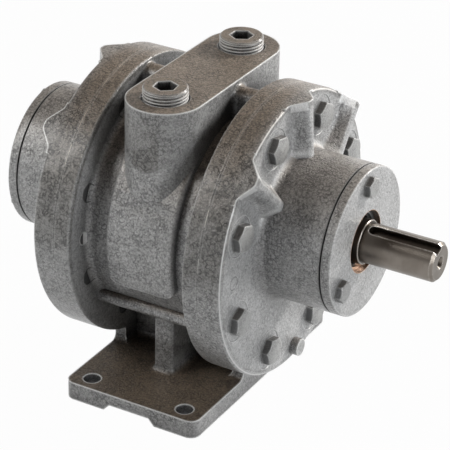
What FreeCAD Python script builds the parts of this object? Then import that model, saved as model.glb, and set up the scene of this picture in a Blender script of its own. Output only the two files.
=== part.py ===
import FreeCAD, Part
import math
import os

# Foot-mounted rotary air vane motor, cast iron, built piece by piece at its real size in millimetres.
# The output shaft runs along +X, +Z is up, and the origin is the centre of the foot's underside.
# Both ends are alike, so the drive end is modelled and the rear end is its mirror image.
# Angles round the axes are in degrees from straight up towards the front side, which is -Y.

V = FreeCAD.Vector

# Main stations and axes
SHAFT_HEIGHT = 104.7        # output shaft axis above the foot's underside
ECCENTRICITY = 7.15         # the bore and the round flanges sit this far below the shaft axis
BODY_HALF_LENGTH = 44.5     # machined end faces of the body
GASKET_THICKNESS = 0.4      # paper gasket between body and end plate
EDGE_ROUND = 1.2            # cast edges
MACHINED_EDGE = 0.3         # edges broken after turning

# Rotor chamber
CHAMBER_RADIUS = 54.0
CHAMBER_WALL = 9.0
ROTOR_TIP_CLEARANCE = 0.07  # between rotor and bore at the top, where they nearly touch
ROTOR_END_CLEARANCE = 0.1   # between rotor and each end plate

# Body barrel
FLANGE_THICKNESS = 9.3
FLANGE_DEPTH = 18.35        # body flanges and end plates stand out this far from the barrel
GROOVE_FILLET = 4.0         # barrel to flange
BAND_HALF_WIDTH = 21.0      # raised band round the middle of the barrel
BAND_HEIGHT = 4.5
BAND_EDGE_ROUND = 2.5
BAND_DROP = 31.2            # the band ends this far below the shaft axis, above each bar rib
BAND_CORNER_RADIUS = 8.0
BAR_RADIUS = 4.2            # round bar rib between the flanges, on both sides
BAR_ANGLE = 131.0
BAR_PROUD = 1.5             # its centre line outside the barrel's surface

# Foot and pedestal
FOOT_LENGTH = 84.6          # along X
FOOT_SIDE_INSET = 4.65      # foot narrower than the flanges on each side
FOOT_THICKNESS = 10.75
FOOT_CORNER_RADIUS = 6.0
FOOT_HOLE_RADIUS = 5.0
FOOT_HOLE_SPACING_X = 60.0
FOOT_HOLE_INSET = 9.7       # hole centre to the foot's long-side edge
CHANNEL_DEPTH = 4.0         # relief along Y under the foot
CHANNEL_FLOOR_WIDTH = 25.4
CHANNEL_MOUTH_WIDTH = 32.6
END_WEB_WIDTH = 47.0        # under each flange
CENTRE_WEB_THICKNESS = 24.0
CROSS_RIB_THICKNESS = 12.0
CROSS_RIB_WIDTH = 82.0
CROSS_RIB_CORNER = 2.5
PEDESTAL_FILLET = 4.0

# Port boss and plugs
BOSS_STAND_OUT = 1.1        # boss top above the top of the flanges
BOSS_HALF_WIDTH = 21.4
PORT_SPACING = 80.6         # between the two port centres
PORT_THREAD_RADIUS = 12.4
PORT_THREAD_DEPTH = 22.0
PORT_DRILL_RADIUS = 9.0
PORT_MOUTH_RADIUS = 13.2    # countersunk mouth of each tapped port
PORT_MOUTH_DEPTH = 1.0
BRIDGE_WIDTH = 13.0         # low ribs that tie the boss to both flanges
BRIDGE_DROP = 3.6           # bridge crest below the boss top
BRIDGE_BOSS_FILLET = 3.5
BRIDGE_FLANGE_FILLET = 2.0
PLUG_CLEARANCE = 0.1
PLUG_STAND_OUT = 6.6
PLUG_LENGTH = 18.0
PLUG_TOP_CHAMFER = 0.8
PLUG_SOCKET_FLATS = 11.5
PLUG_SOCKET_DEPTH = 9.0
PLUG_FRONT_TURN = 38.0      # a socket corner from +X towards +Y, as each plug came to rest
PLUG_REAR_TURN = 30.0

# End plates
PLATE_THICKNESS = 13.4
PLATE_EDGE_ROUND = 2.5
HUB_RADIUS = 41.9
HUB_END = 95.3              # station of the hub's machined end face
HUB_ROOT_FILLET = 5.0
RIB_ANGLES = (-45.0, 0.0, 45.0)
RIB_HEIGHT_AT_RIM = 7.2
RIB_HEIGHT_AT_FLARE = 8.1
RIB_HEIGHT_AT_WAIST = 8.9   # midway between hub and flare
RIB_HEIGHT_AT_HUB = 11.4
RIB_HALF_WIDTH = 7.2
RIB_HALF_WIDTH_AT_RIM = 11.6
RIB_CREST_HALF_WIDTH = 2.4
RIB_FLARE_LENGTH = 11.35    # the ribs widen over this length out to the rim
RIB_CREST_ROUND = 3.2
RIB_FOOT_FILLET = 4.0
RIB_FOOT_SINK = 0.1         # the ribs' fillets run this far into the plate
RIB_OVERRUN = 4.0           # rib before it is trimmed flush with the rim
PAD_RADIUS = 5.0            # small round boss near the foot of each end plate
PAD_HEIGHT = 4.8
PAD_ANGLE = -176.5
PAD_INSET = 7.65            # from the rim

# End plate bolts and dowels
PLATE_BOLT_COUNT = 8
PLATE_BOLT_FIRST_ANGLE = 22.5
PLATE_BOLT_INSET = 15.15    # bolt circle from the rim
PLATE_BOLT_RADIUS = 4.76
PLATE_BOLT_FLATS = 14.29
PLATE_BOLT_HEAD = 4.9
PLATE_BOLT_TURNS = (20.0, 13.0, 54.0, 18.0, 51.0, 15.0, 3.0, 3.0)   # how each head came to rest
SPOT_FACE_RADIUS = 11.3
SPOT_FACE_DEPTH = 0.3
HEX_HEAD_CROWN = 0.8        # height of the rounded-off corners on each bolt head
HEX_HEAD_TOP = 0.94         # diameter of a head's flat top against its width across flats
BOLT_HOLE_CLEARANCE = 0.3
THREAD_CLEARANCE = 0.05
BOLT_END_RECESS = 0.3       # shank end below the flange's inner face
DOWEL_RADIUS = 3.5
DOWEL_ANGLES = (90.0, -90.0)

# Caps
CAP_GASKET_THICKNESS = 0.7
CAP_GASKET_RECESS = 1.2     # gasket edge below the cap's rim, which leaves a fine dark groove
CAP_THICKNESS = 5.6
CAP_EDGE_ROUND = 0.6
CAP_BOLT_COUNT = 3
CAP_BOLT_PITCH_RADIUS = 33.0
CAP_BOLT_RADIUS = 3.17
CAP_BOLT_FLATS = 11.11
CAP_BOLT_HEAD = 4.0
CAP_BOLT_LENGTH = 17.0
CAP_BOLT_HOLE_SPARE = 1.0   # tapped deeper than the bolt reaches
CAP_BOLT_TURNS = (3.0, 45.0, 20.0)
SPIGOT_CLEARANCE = 0.1      # between the cap's spigot and the hub's bore, and before the bearing
SPIGOT_WALL = 4.5

# Ball bearings, one in each hub
BEARING_INNER_FACE = 73.0   # station of the shaft shoulder
BEARING_WIDTH = 15.0
BEARING_BORE_RADIUS = 12.5
BEARING_OUTER_RADIUS = 26.0
BALL_RADIUS = 3.97
BALL_COUNT = 9
RACE_CLEARANCE = 0.05
RING_WALL_INNER = 3.9
RING_WALL_OUTER = 3.9
CAGE_THICKNESS = 1.8
CAGE_WIDTH = 10.6

# Shaft
SHAFT_CORE_RADIUS = 15.0
PLATE_BORE_CLEARANCE = 0.3  # between shaft core and end plate
SHAFT_END_RADIUS = 11.11    # output extension
JOURNAL_STAND_OUT = 1.4     # how far the ground journal comes out of the drive end cap
JOURNAL_CHAMFER = 1.0
SHAFT_TIP = 145.5
SHAFT_TIP_CHAMFER = 1.6
SHAFT_REAR_END = 93.0
KEYWAY_START = 105.0
KEYWAY_WIDTH = 6.0
KEYWAY_DEPTH = 3.5
KEYWAY_ANGLE = 19.0
CENTRE_DRILL_RADIUS = 1.8
CENTRE_DRILL_DEPTH = 8.0
CENTRE_MOUTH_RADIUS = 3.6
CIRCLIP_WIDTH = 1.4
CIRCLIP_GROOVE_DEPTH = 0.9
CIRCLIP_HEIGHT = 3.2
CIRCLIP_SLACK = 0.1
CIRCLIP_GAP_ANGLE = 50.0

# Rotor vanes
VANE_COUNT = 8
VANE_THICKNESS = 4.8
VANE_SLOT_FLOOR = 2.75      # rotor left between each vane slot and the shaft
VANE_SIDE_CLEARANCE = 0.1
VANE_FREE_TRAVEL = 1.8      # how far a vane can sink into its slot from flush
VANE_BOTTOM_CLEARANCE = 0.2
VANE_FLUSH_CLEARANCE = 0.03
VANE_TIP_RADIUS = 6.0

# Shaft seal in the drive end cap
SEAL_RADIUS = 17.5
SEAL_WIDTH = 7.0
SEAL_RECESS = 3.6           # seal face below the cap's face
SEAL_CASE_WALL = 1.2
SEAL_CASE_BACK_RADIUS = 15.2    # hole in the closed side of the case
SEAL_RUBBER_INSET = 0.5     # rubber below the edge of the case
SEAL_RUBBER_SKIN = 0.6      # rubber that lines the case
SEAL_LIP_CLEARANCE = 0.06
SEAL_LIP_WALL = 1.4
SEAL_LIP_RAKE = 1.2         # the lip opens away from the journal by this much towards the outside
SEAL_GROOVE_DEPTH = 2.4
SEAL_GROOVE_ROUND = 0.4
SEAL_SPRING_RADIUS = 0.75
SEAL_SPRING_CLEARANCE = 0.05
CAP_THROAT_CLEARANCE = 2.0  # between the shaft and the cap behind the seal

# Worked out from the dimensions above
BORE_HEIGHT = SHAFT_HEIGHT - ECCENTRICITY
BARREL_RADIUS = CHAMBER_RADIUS + CHAMBER_WALL
FLANGE_RADIUS = BARREL_RADIUS + FLANGE_DEPTH
FOOT_WIDTH = 2 * (FLANGE_RADIUS - FOOT_SIDE_INSET)
FOOT_HOLE_SPACING_Y = FOOT_WIDTH - 2 * FOOT_HOLE_INSET
BOSS_TOP = BORE_HEIGHT + FLANGE_RADIUS + BOSS_STAND_OUT
BRIDGE_TOP = BOSS_TOP - BRIDGE_DROP
BAND_LOWER_EDGE = SHAFT_HEIGHT - BAND_DROP
PLATE_BOLT_PITCH_RADIUS = FLANGE_RADIUS - PLATE_BOLT_INSET
PAD_PITCH_RADIUS = FLANGE_RADIUS - PAD_INSET
RIB_FLARE_RADIUS = FLANGE_RADIUS - RIB_FLARE_LENGTH
PLATE_INNER_FACE = BODY_HALF_LENGTH + GASKET_THICKNESS
PLATE_OUTER_FACE = PLATE_INNER_FACE + PLATE_THICKNESS
FLANGE_INNER_FACE = BODY_HALF_LENGTH - FLANGE_THICKNESS
CAP_INNER_FACE = HUB_END + CAP_GASKET_THICKNESS
CAP_FACE = CAP_INNER_FACE + CAP_THICKNESS
BEARING_OUTER_FACE = BEARING_INNER_FACE + BEARING_WIDTH
BEARING_PITCH_RADIUS = 0.5 * (BEARING_BORE_RADIUS + BEARING_OUTER_RADIUS)
ROTOR_RADIUS = CHAMBER_RADIUS - ECCENTRICITY - ROTOR_TIP_CLEARANCE
ROTOR_HALF_LENGTH = PLATE_INNER_FACE - ROTOR_END_CLEARANCE
VANE_TIP = ROTOR_RADIUS - VANE_FLUSH_CLEARANCE
SLOT_BOTTOM = SHAFT_CORE_RADIUS + VANE_SLOT_FLOOR
VANE_HEIGHT = VANE_TIP - SLOT_BOTTOM - VANE_FREE_TRAVEL - VANE_BOTTOM_CLEARANCE
SHAFT_SHOULDER = CAP_FACE + JOURNAL_STAND_OUT
SEAL_FACE = CAP_FACE - SEAL_RECESS
SEAL_BACK = SEAL_FACE - SEAL_WIDTH
SEAL_RUBBER_BACK = SEAL_BACK + SEAL_CASE_WALL
SEAL_RUBBER_FACE = SEAL_FACE - SEAL_RUBBER_INSET
SEAL_RUBBER_RADIUS = SEAL_RADIUS - SEAL_CASE_WALL
SEAL_LIP_RADIUS = BEARING_BORE_RADIUS + SEAL_LIP_CLEARANCE
SEAL_GROOVE_INNER = SEAL_LIP_RADIUS + SEAL_LIP_WALL
SEAL_GROOVE_OUTER = SEAL_RUBBER_RADIUS - SEAL_RUBBER_SKIN
SEAL_GROOVE_FLOOR = SEAL_RUBBER_FACE - SEAL_GROOVE_DEPTH
SAME_PLACE = 0.001          # closer than this counts as touching


# Geometry helpers

def rounded_wire(corners, place):
    """Closed outline through (u, v, radius) corners; place turns u and v into a point in space."""
    starts, mids, ends = [], [], []
    count = len(corners)
    for i, (u, v, radius) in enumerate(corners):
        before, after = corners[i - 1], corners[(i + 1) % count]
        here = V(u, v, 0)
        a = (V(before[0], before[1], 0) - here).normalize()
        b = (V(after[0], after[1], 0) - here).normalize()
        half = 0.5 * a.getAngle(b)
        reach = radius / math.tan(half)
        middle = here + (a + b).normalize() * (radius / math.sin(half) - radius) if radius else here
        starts.append(here + a * reach)
        mids.append(middle)
        ends.append(here + b * reach)
    edges = []
    for i in range(count):
        following = (i + 1) % count
        if corners[i][2]:
            arc = Part.Arc(place(*starts[i][:2]), place(*mids[i][:2]), place(*ends[i][:2]))
            edges.append(arc.toShape())
        p, q = place(*ends[i][:2]), place(*starts[following][:2])
        if p.distanceToPoint(q) > SAME_PLACE:
            edges.append(Part.makeLine(p, q))
    return Part.Wire(Part.__sortEdges__(edges))


def turned(corners, axis_height=SHAFT_HEIGHT):
    """Solid of revolution about a line along X; corners are (x, radius from the axis, corner radius)."""
    wire = rounded_wire(corners, lambda x, r: V(x, 0, axis_height + r))
    return Part.Face(wire).revolve(V(0, 0, axis_height), V(1, 0, 0), 360)


def ring(x0, x1, r_in, r_out, axis_height=SHAFT_HEIGHT):
    """Plain ring between two stations along X."""
    corners = [(x0, r_in, 0), (x0, r_out, 0), (x1, r_out, 0), (x1, r_in, 0)]
    return turned(corners, axis_height)


def rod_x(radius, x0, x1, y, z):
    return Part.makeCylinder(radius, x1 - x0, V(x0, y, z), V(1, 0, 0))


def prism(corners, place, direction):
    """Straight prism of an outline; direction is the full sweep."""
    return Part.Face(rounded_wire(corners, place)).extrude(direction)


def rectangle(half_u, half_v, radius=0.0):
    return [(-half_u, -half_v, radius), (half_u, -half_v, radius),
            (half_u, half_v, radius), (-half_u, half_v, radius)]


def upright(corners, z0, z1):
    """Prism along Z from an outline in X and Y."""
    return prism(corners, lambda x, y: V(x, y, z0), V(0, 0, z1 - z0))


def across(corners, y0, y1):
    """Prism along Y from an outline in X and Z."""
    return prism(corners, lambda x, z: V(x, y0, z), V(0, y1 - y0, 0))


def round_point(angle, radius, axis_height):
    """Y and Z of a point at an angle round a line along X."""
    a = math.radians(angle)
    return -radius * math.sin(a), axis_height + radius * math.cos(a)


def hexagon(x0, x1, flats, y, z, turn):
    """Hexagonal prism along X; turn is the angle of one corner from straight up."""
    circle = 0.5 * flats / math.cos(math.radians(30))
    points = [V(x0, *round_point(turn + 60 * i, circle, 0)) + V(0, y, z) for i in range(6)]
    return Part.Face(Part.makePolygon(points + points[:1])).extrude(V(x1 - x0, 0, 0))


def hex_bolt(seat, y, z, flats, head, radius, length, turn):
    """Hex head bolt along X: the head stands out from its seat and the shank runs back into the casting."""
    across_corners = 0.5 * flats / math.cos(math.radians(30))
    skim = turned([(seat, 0, 0), (seat, across_corners, 0), (seat + head - HEX_HEAD_CROWN, across_corners, 0),
                   (seat + head, 0.5 * flats * HEX_HEAD_TOP, 0), (seat + head, 0, 0)], 0)
    skim.translate(V(0, y, z))
    top = hexagon(seat, seat + head, flats, y, z, turn).common(skim)
    shank = rod_x(radius, seat - length, seat, y, z)
    return top.fuse(shank).removeSplitter()


def fuse_all(shapes):
    return shapes[0].multiFuse(shapes[1:]).removeSplitter()


def mirrored(shape):
    """The same piece at the rear end."""
    return shape.mirror(V(0, 0, 0), V(1, 0, 0))


def turned_about_shaft(shape, angle):
    copy = shape.copy()
    copy.rotate(V(0, 0, SHAFT_HEIGHT), V(1, 0, 0), angle)
    return copy


def plate_bolt_places():
    step = 360.0 / PLATE_BOLT_COUNT
    return [round_point(PLATE_BOLT_FIRST_ANGLE + i * step, PLATE_BOLT_PITCH_RADIUS, BORE_HEIGHT)
            for i in range(PLATE_BOLT_COUNT)]


def dowel_places():
    return [round_point(angle, PLATE_BOLT_PITCH_RADIUS, BORE_HEIGHT) for angle in DOWEL_ANGLES]


def cap_bolt_places():
    step = 360.0 / CAP_BOLT_COUNT
    return [round_point(i * step, CAP_BOLT_PITCH_RADIUS, SHAFT_HEIGHT) for i in range(CAP_BOLT_COUNT)]


# Body: one iron casting with the rotor chamber, the two round flanges, the foot and the port boss

def barrel():
    """Solid barrel with a flange at each end and a filleted groove between them; the chamber is bored later."""
    half = [(BODY_HALF_LENGTH, 0, 0), (BODY_HALF_LENGTH, FLANGE_RADIUS, 0),
            (FLANGE_INNER_FACE, FLANGE_RADIUS, EDGE_ROUND), (FLANGE_INNER_FACE, BARREL_RADIUS, GROOVE_FILLET)]
    other = [(-x, r, radius) for x, r, radius in reversed(half)]
    return turned(half + other, BORE_HEIGHT)


def band():
    """Raised band round the barrel that stops, with rounded corners, above the bar ribs."""
    outside = BARREL_RADIUS + BAND_HEIGHT
    hoop = turned([(-BAND_HALF_WIDTH, CHAMBER_RADIUS, 0), (-BAND_HALF_WIDTH, outside, BAND_EDGE_ROUND),
                   (BAND_HALF_WIDTH, outside, BAND_EDGE_ROUND), (BAND_HALF_WIDTH, CHAMBER_RADIUS, 0)], BORE_HEIGHT)
    window = [(-BAND_HALF_WIDTH, BAND_LOWER_EDGE, BAND_CORNER_RADIUS),
              (BAND_HALF_WIDTH, BAND_LOWER_EDGE, BAND_CORNER_RADIUS),
              (BAND_HALF_WIDTH, BOSS_TOP, 0), (-BAND_HALF_WIDTH, BOSS_TOP, 0)]
    return hoop.common(across(window, -FLANGE_RADIUS, FLANGE_RADIUS))


def bars():
    """Round bar ribs along the lower sides of the barrel."""
    shapes = []
    for side in (-1, 1):
        y, z = round_point(side * BAR_ANGLE, BARREL_RADIUS + BAR_PROUD, BORE_HEIGHT)
        shapes.append(rod_x(BAR_RADIUS, -FLANGE_INNER_FACE - EDGE_ROUND, FLANGE_INNER_FACE + EDGE_ROUND, y, z))
    return shapes


def foot():
    """Foot plate with end webs, a centre web and a cross rib standing on it, all filleted into it."""
    half_x, half_y = 0.5 * FOOT_LENGTH, 0.5 * FOOT_WIDTH
    plate = upright(rectangle(half_x, half_y, FOOT_CORNER_RADIUS), 0, FOOT_THICKNESS)
    web_top = BORE_HEIGHT - 0.5 * (CHAMBER_RADIUS + BARREL_RADIUS)
    end_web_x = FLANGE_INNER_FACE
    webs = [upright(rectangle(half_x, 0.5 * CENTRE_WEB_THICKNESS), 0, web_top)]
    for side in (-1, 1):
        outline = [(side * end_web_x, -0.5 * END_WEB_WIDTH, 0), (side * half_x, -0.5 * END_WEB_WIDTH, 0),
                   (side * half_x, 0.5 * END_WEB_WIDTH, 0), (side * end_web_x, 0.5 * END_WEB_WIDTH, 0)]
        webs.append(upright(outline, 0, web_top))
    rib_y = 0.5 * CROSS_RIB_WIDTH
    rib_top = round_point(BAR_ANGLE, BARREL_RADIUS, BORE_HEIGHT)[1]
    webs.append(upright(rectangle(0.5 * CROSS_RIB_THICKNESS, rib_y, CROSS_RIB_CORNER), 0, rib_top))
    solid = fuse_all([plate] + webs)
    root = [e for e in solid.Edges if abs(e.BoundBox.ZMin - FOOT_THICKNESS) < SAME_PLACE
            and abs(e.BoundBox.ZMax - FOOT_THICKNESS) < SAME_PLACE
            and max(abs(e.BoundBox.YMin), abs(e.BoundBox.YMax)) < rib_y + SAME_PLACE
            and min(abs(e.BoundBox.XMin), abs(e.BoundBox.XMax)) < half_x - SAME_PLACE]
    return solid.makeFillet(PEDESTAL_FILLET, root)


def foot_cuts():
    """Relief channel under the foot and its four bolt holes."""
    floor, mouth = 0.5 * CHANNEL_FLOOR_WIDTH, 0.5 * CHANNEL_MOUTH_WIDTH
    channel = [(-mouth, 0, 0), (mouth, 0, 0), (floor, CHANNEL_DEPTH, 0), (-floor, CHANNEL_DEPTH, 0)]
    cuts = [across(channel, -0.5 * FOOT_WIDTH, 0.5 * FOOT_WIDTH)]
    for sx in (-0.5, 0.5):
        for sy in (-0.5, 0.5):
            place = V(sx * FOOT_HOLE_SPACING_X, sy * FOOT_HOLE_SPACING_Y, 0)
            cuts.append(Part.makeCylinder(FOOT_HOLE_RADIUS, FOOT_THICKNESS, place))
    return cuts


def port_boss():
    """Long round-ended boss on top, tied to both flanges by low bridge ribs with full-round tops."""
    half_length = 0.5 * PORT_SPACING + BOSS_HALF_WIDTH
    outline = rectangle(BOSS_HALF_WIDTH, half_length, BOSS_HALF_WIDTH - SAME_PLACE)
    drive_bridge = bridge()
    return [upright(outline, BORE_HEIGHT, BOSS_TOP), drive_bridge, mirrored(drive_bridge)]


def bridge():
    """Rib from the boss to the drive end flange, filleted into both."""
    crown = 0.5 * BRIDGE_WIDTH
    centre = BRIDGE_TOP - crown
    base = BORE_HEIGHT + 0.5 * (CHAMBER_RADIUS + BARREL_RADIUS)
    boss_side, boss_flare = BOSS_HALF_WIDTH - EDGE_ROUND, crown + BRIDGE_BOSS_FILLET
    flange_side, flange_flare = FLANGE_INNER_FACE + EDGE_ROUND, crown + BRIDGE_FLANGE_FILLET
    flank = [(boss_side, boss_flare, 0), (BOSS_HALF_WIDTH, boss_flare, 0), (BOSS_HALF_WIDTH, crown, BRIDGE_BOSS_FILLET),
             (FLANGE_INNER_FACE, crown, BRIDGE_FLANGE_FILLET), (FLANGE_INNER_FACE, flange_flare, 0),
             (flange_side, flange_flare, 0)]
    dome = turned([(boss_side, 0, 0)] + flank + [(flange_side, 0, 0)], centre)
    dome = dome.common(upright([(0, -boss_flare, 0), (flange_side, -boss_flare, 0),
                                (flange_side, boss_flare, 0), (0, boss_flare, 0)], centre, BOSS_TOP))
    skirt = upright(flank + [(x, -y, radius) for x, y, radius in reversed(flank)], base, centre)
    return dome.fuse(skirt).removeSplitter()


def port_cuts():
    """Tapped ports in the boss, drilled on down into the chamber."""
    cuts = []
    for side in (-0.5, 0.5):
        y = side * PORT_SPACING
        thread_end = BOSS_TOP - PORT_THREAD_DEPTH
        cuts.append(Part.makeCylinder(PORT_THREAD_RADIUS, PORT_THREAD_DEPTH, V(0, y, thread_end)))
        cuts.append(Part.makeCylinder(PORT_DRILL_RADIUS, thread_end - BORE_HEIGHT, V(0, y, BORE_HEIGHT)))
        cuts.append(Part.makeCone(PORT_THREAD_RADIUS, PORT_MOUTH_RADIUS, PORT_MOUTH_DEPTH,
                                  V(0, y, BOSS_TOP - PORT_MOUTH_DEPTH)))
    return cuts


def body():
    cuts = [rod_x(CHAMBER_RADIUS, -BODY_HALF_LENGTH, BODY_HALF_LENGTH, 0, BORE_HEIGHT)]
    cuts += foot_cuts() + port_cuts()
    for y, z in plate_bolt_places():
        cuts.append(rod_x(PLATE_BOLT_RADIUS, -BODY_HALF_LENGTH, -FLANGE_INNER_FACE, y, z))
        cuts.append(rod_x(PLATE_BOLT_RADIUS, FLANGE_INNER_FACE, BODY_HALF_LENGTH, y, z))
    for y, z in dowel_places():
        cuts.append(rod_x(DOWEL_RADIUS, -BODY_HALF_LENGTH, -FLANGE_INNER_FACE, y, z))
        cuts.append(rod_x(DOWEL_RADIUS, FLANGE_INNER_FACE, BODY_HALF_LENGTH, y, z))
    casting = fuse_all([barrel(), band(), foot()] + bars() + port_boss())
    return casting.cut(cuts)


# End plate: round cover with the bearing hub, three radial ribs above and spot-faced bolt seats

def radial_rib(angle):
    """Rib from the hub out to the rim with a rounded crest and filleted flanks, wider at the rim."""
    root = PLATE_OUTER_FACE - 0.5 * PLATE_THICKNESS
    foot_level = PLATE_OUTER_FACE - RIB_FOOT_SINK
    waist = 0.5 * (HUB_RADIUS + RIB_FLARE_RADIUS)
    stations = [(HUB_RADIUS, RIB_HALF_WIDTH, RIB_HEIGHT_AT_HUB), (waist, RIB_HALF_WIDTH, RIB_HEIGHT_AT_WAIST),
                (RIB_FLARE_RADIUS, RIB_HALF_WIDTH, RIB_HEIGHT_AT_FLARE),
                (FLANGE_RADIUS, RIB_HALF_WIDTH_AT_RIM, RIB_HEIGHT_AT_RIM),
                (FLANGE_RADIUS + RIB_OVERRUN, RIB_HALF_WIDTH_AT_RIM, RIB_HEIGHT_AT_RIM)]
    wires = []
    for radius, half_width, height in stations:
        crest = PLATE_OUTER_FACE + height
        side = [(crest, RIB_CREST_HALF_WIDTH, RIB_CREST_ROUND), (foot_level, half_width, RIB_FOOT_FILLET),
                (foot_level, half_width + RIB_FOOT_FILLET, 0), (root, half_width + RIB_FOOT_FILLET, 0)]
        section = side + [(x, -y, r) for x, y, r in reversed(side)]
        wires.append(rounded_wire(section, lambda x, y, z=radius: V(x, y, z)))
    rib = Part.makeLoft(wires, True, False)
    rib.rotate(V(0, 0, 0), V(1, 0, 0), angle)
    rib.translate(V(0, 0, BORE_HEIGHT))
    return rib


def end_plate():
    disc = turned([(PLATE_INNER_FACE, 0, 0), (PLATE_INNER_FACE, FLANGE_RADIUS, 0),
                   (PLATE_OUTER_FACE, FLANGE_RADIUS, PLATE_EDGE_ROUND), (PLATE_OUTER_FACE, 0, 0)], BORE_HEIGHT)
    hub = turned([(PLATE_INNER_FACE, 0, 0), (PLATE_INNER_FACE, HUB_RADIUS + 2 * HUB_ROOT_FILLET, 0),
                  (PLATE_OUTER_FACE, HUB_RADIUS + 2 * HUB_ROOT_FILLET, 0),
                  (PLATE_OUTER_FACE, HUB_RADIUS, HUB_ROOT_FILLET), (HUB_END, HUB_RADIUS, MACHINED_EDGE),
                  (HUB_END, 0, 0)])
    rim = rod_x(FLANGE_RADIUS, PLATE_INNER_FACE, HUB_END, 0, BORE_HEIGHT)
    ribs = [radial_rib(angle).common(rim) for angle in RIB_ANGLES]
    y, z = round_point(PAD_ANGLE, PAD_PITCH_RADIUS, BORE_HEIGHT)
    pad = rod_x(PAD_RADIUS, PLATE_INNER_FACE, PLATE_OUTER_FACE + PAD_HEIGHT, y, z)
    casting = fuse_all([disc, hub, pad] + ribs)
    core_radius = SHAFT_CORE_RADIUS + PLATE_BORE_CLEARANCE
    cuts = [rod_x(core_radius, PLATE_INNER_FACE, BEARING_INNER_FACE, 0, SHAFT_HEIGHT),
            rod_x(BEARING_OUTER_RADIUS, BEARING_INNER_FACE, HUB_END, 0, SHAFT_HEIGHT)]
    for y, z in plate_bolt_places():
        cuts.append(rod_x(PLATE_BOLT_RADIUS + BOLT_HOLE_CLEARANCE, PLATE_INNER_FACE, PLATE_OUTER_FACE, y, z))
        cuts.append(rod_x(SPOT_FACE_RADIUS, PLATE_OUTER_FACE - SPOT_FACE_DEPTH, CAP_FACE, y, z))
    for y, z in dowel_places():
        cuts.append(rod_x(DOWEL_RADIUS, PLATE_INNER_FACE, PLATE_OUTER_FACE, y, z))
    for y, z in cap_bolt_places():
        depth = CAP_BOLT_LENGTH - CAP_THICKNESS - CAP_GASKET_THICKNESS + CAP_BOLT_HOLE_SPARE
        cuts.append(rod_x(CAP_BOLT_RADIUS, HUB_END - depth, HUB_END, y, z))
    return casting.cut(cuts)


# Gaskets

def body_gasket():
    sheet = ring(BODY_HALF_LENGTH, PLATE_INNER_FACE, CHAMBER_RADIUS, FLANGE_RADIUS, BORE_HEIGHT)
    holes = [rod_x(PLATE_BOLT_RADIUS + BOLT_HOLE_CLEARANCE, BODY_HALF_LENGTH, PLATE_INNER_FACE, y, z)
             for y, z in plate_bolt_places()]
    holes += [rod_x(DOWEL_RADIUS, BODY_HALF_LENGTH, PLATE_INNER_FACE, y, z) for y, z in dowel_places()]
    return sheet.cut(holes)


def cap_gasket():
    sheet = ring(HUB_END, CAP_INNER_FACE, BEARING_OUTER_RADIUS, HUB_RADIUS - CAP_GASKET_RECESS)
    holes = [rod_x(CAP_BOLT_RADIUS + BOLT_HOLE_CLEARANCE, HUB_END, CAP_INNER_FACE, y, z)
             for y, z in cap_bolt_places()]
    return sheet.cut(holes)


# Caps: bolted over the bearings, open for the seal at the drive end and blank at the rear

def cap(bored):
    spigot = BEARING_OUTER_RADIUS - SPIGOT_CLEARANCE
    spigot_end = BEARING_OUTER_FACE + SPIGOT_CLEARANCE
    solid = turned([(spigot_end, 0, 0), (spigot_end, spigot, 0), (CAP_INNER_FACE, spigot, 0),
                    (CAP_INNER_FACE, HUB_RADIUS, MACHINED_EDGE), (CAP_FACE, HUB_RADIUS, CAP_EDGE_ROUND),
                    (CAP_FACE, 0, 0)])
    cuts = [rod_x(CAP_BOLT_RADIUS + BOLT_HOLE_CLEARANCE, CAP_INNER_FACE, CAP_FACE, y, z)
            for y, z in cap_bolt_places()]
    if bored:
        throat = BEARING_BORE_RADIUS + CAP_THROAT_CLEARANCE
        cuts.append(rod_x(throat, spigot_end, SEAL_BACK, 0, SHAFT_HEIGHT))
        cuts.append(rod_x(SEAL_RADIUS, SEAL_BACK, CAP_FACE, 0, SHAFT_HEIGHT))
    else:
        cuts.append(rod_x(spigot - SPIGOT_WALL, spigot_end, CAP_INNER_FACE, 0, SHAFT_HEIGHT))
    return solid.cut(cuts)


# Fasteners

def plate_bolts():
    seat = PLATE_OUTER_FACE - SPOT_FACE_DEPTH
    length = seat - FLANGE_INNER_FACE - BOLT_END_RECESS
    return Part.makeCompound([hex_bolt(seat, y, z, PLATE_BOLT_FLATS, PLATE_BOLT_HEAD,
                                       PLATE_BOLT_RADIUS - THREAD_CLEARANCE, length, turn)
                              for (y, z), turn in zip(plate_bolt_places(), PLATE_BOLT_TURNS)])


def cap_bolts():
    return Part.makeCompound([hex_bolt(CAP_FACE, y, z, CAP_BOLT_FLATS, CAP_BOLT_HEAD,
                                       CAP_BOLT_RADIUS - THREAD_CLEARANCE, CAP_BOLT_LENGTH, turn)
                              for (y, z), turn in zip(cap_bolt_places(), CAP_BOLT_TURNS)])


def dowels():
    return Part.makeCompound([rod_x(DOWEL_RADIUS, FLANGE_INNER_FACE, PLATE_OUTER_FACE, y, z)
                              for y, z in dowel_places()])


# Bearing: two rings with a round-bottomed race, balls and a cage, for one end

def race():
    """Torus swept by a ball plus its running clearance."""
    middle = 0.5 * (BEARING_INNER_FACE + BEARING_OUTER_FACE)
    return Part.makeTorus(BEARING_PITCH_RADIUS, BALL_RADIUS + RACE_CLEARANCE, V(middle, 0, SHAFT_HEIGHT), V(1, 0, 0))


def bearing_ring(r_in, r_out):
    return ring(BEARING_INNER_FACE, BEARING_OUTER_FACE, r_in, r_out).cut(race())


def ball(index, radius):
    middle = 0.5 * (BEARING_INNER_FACE + BEARING_OUTER_FACE)
    y, z = round_point(index * 360.0 / BALL_COUNT, BEARING_PITCH_RADIUS, SHAFT_HEIGHT)
    return Part.makeSphere(radius, V(middle, y, z), V(1, 0, 0))


def bearing_balls():
    return Part.makeCompound([ball(i, BALL_RADIUS) for i in range(BALL_COUNT)])


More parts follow.
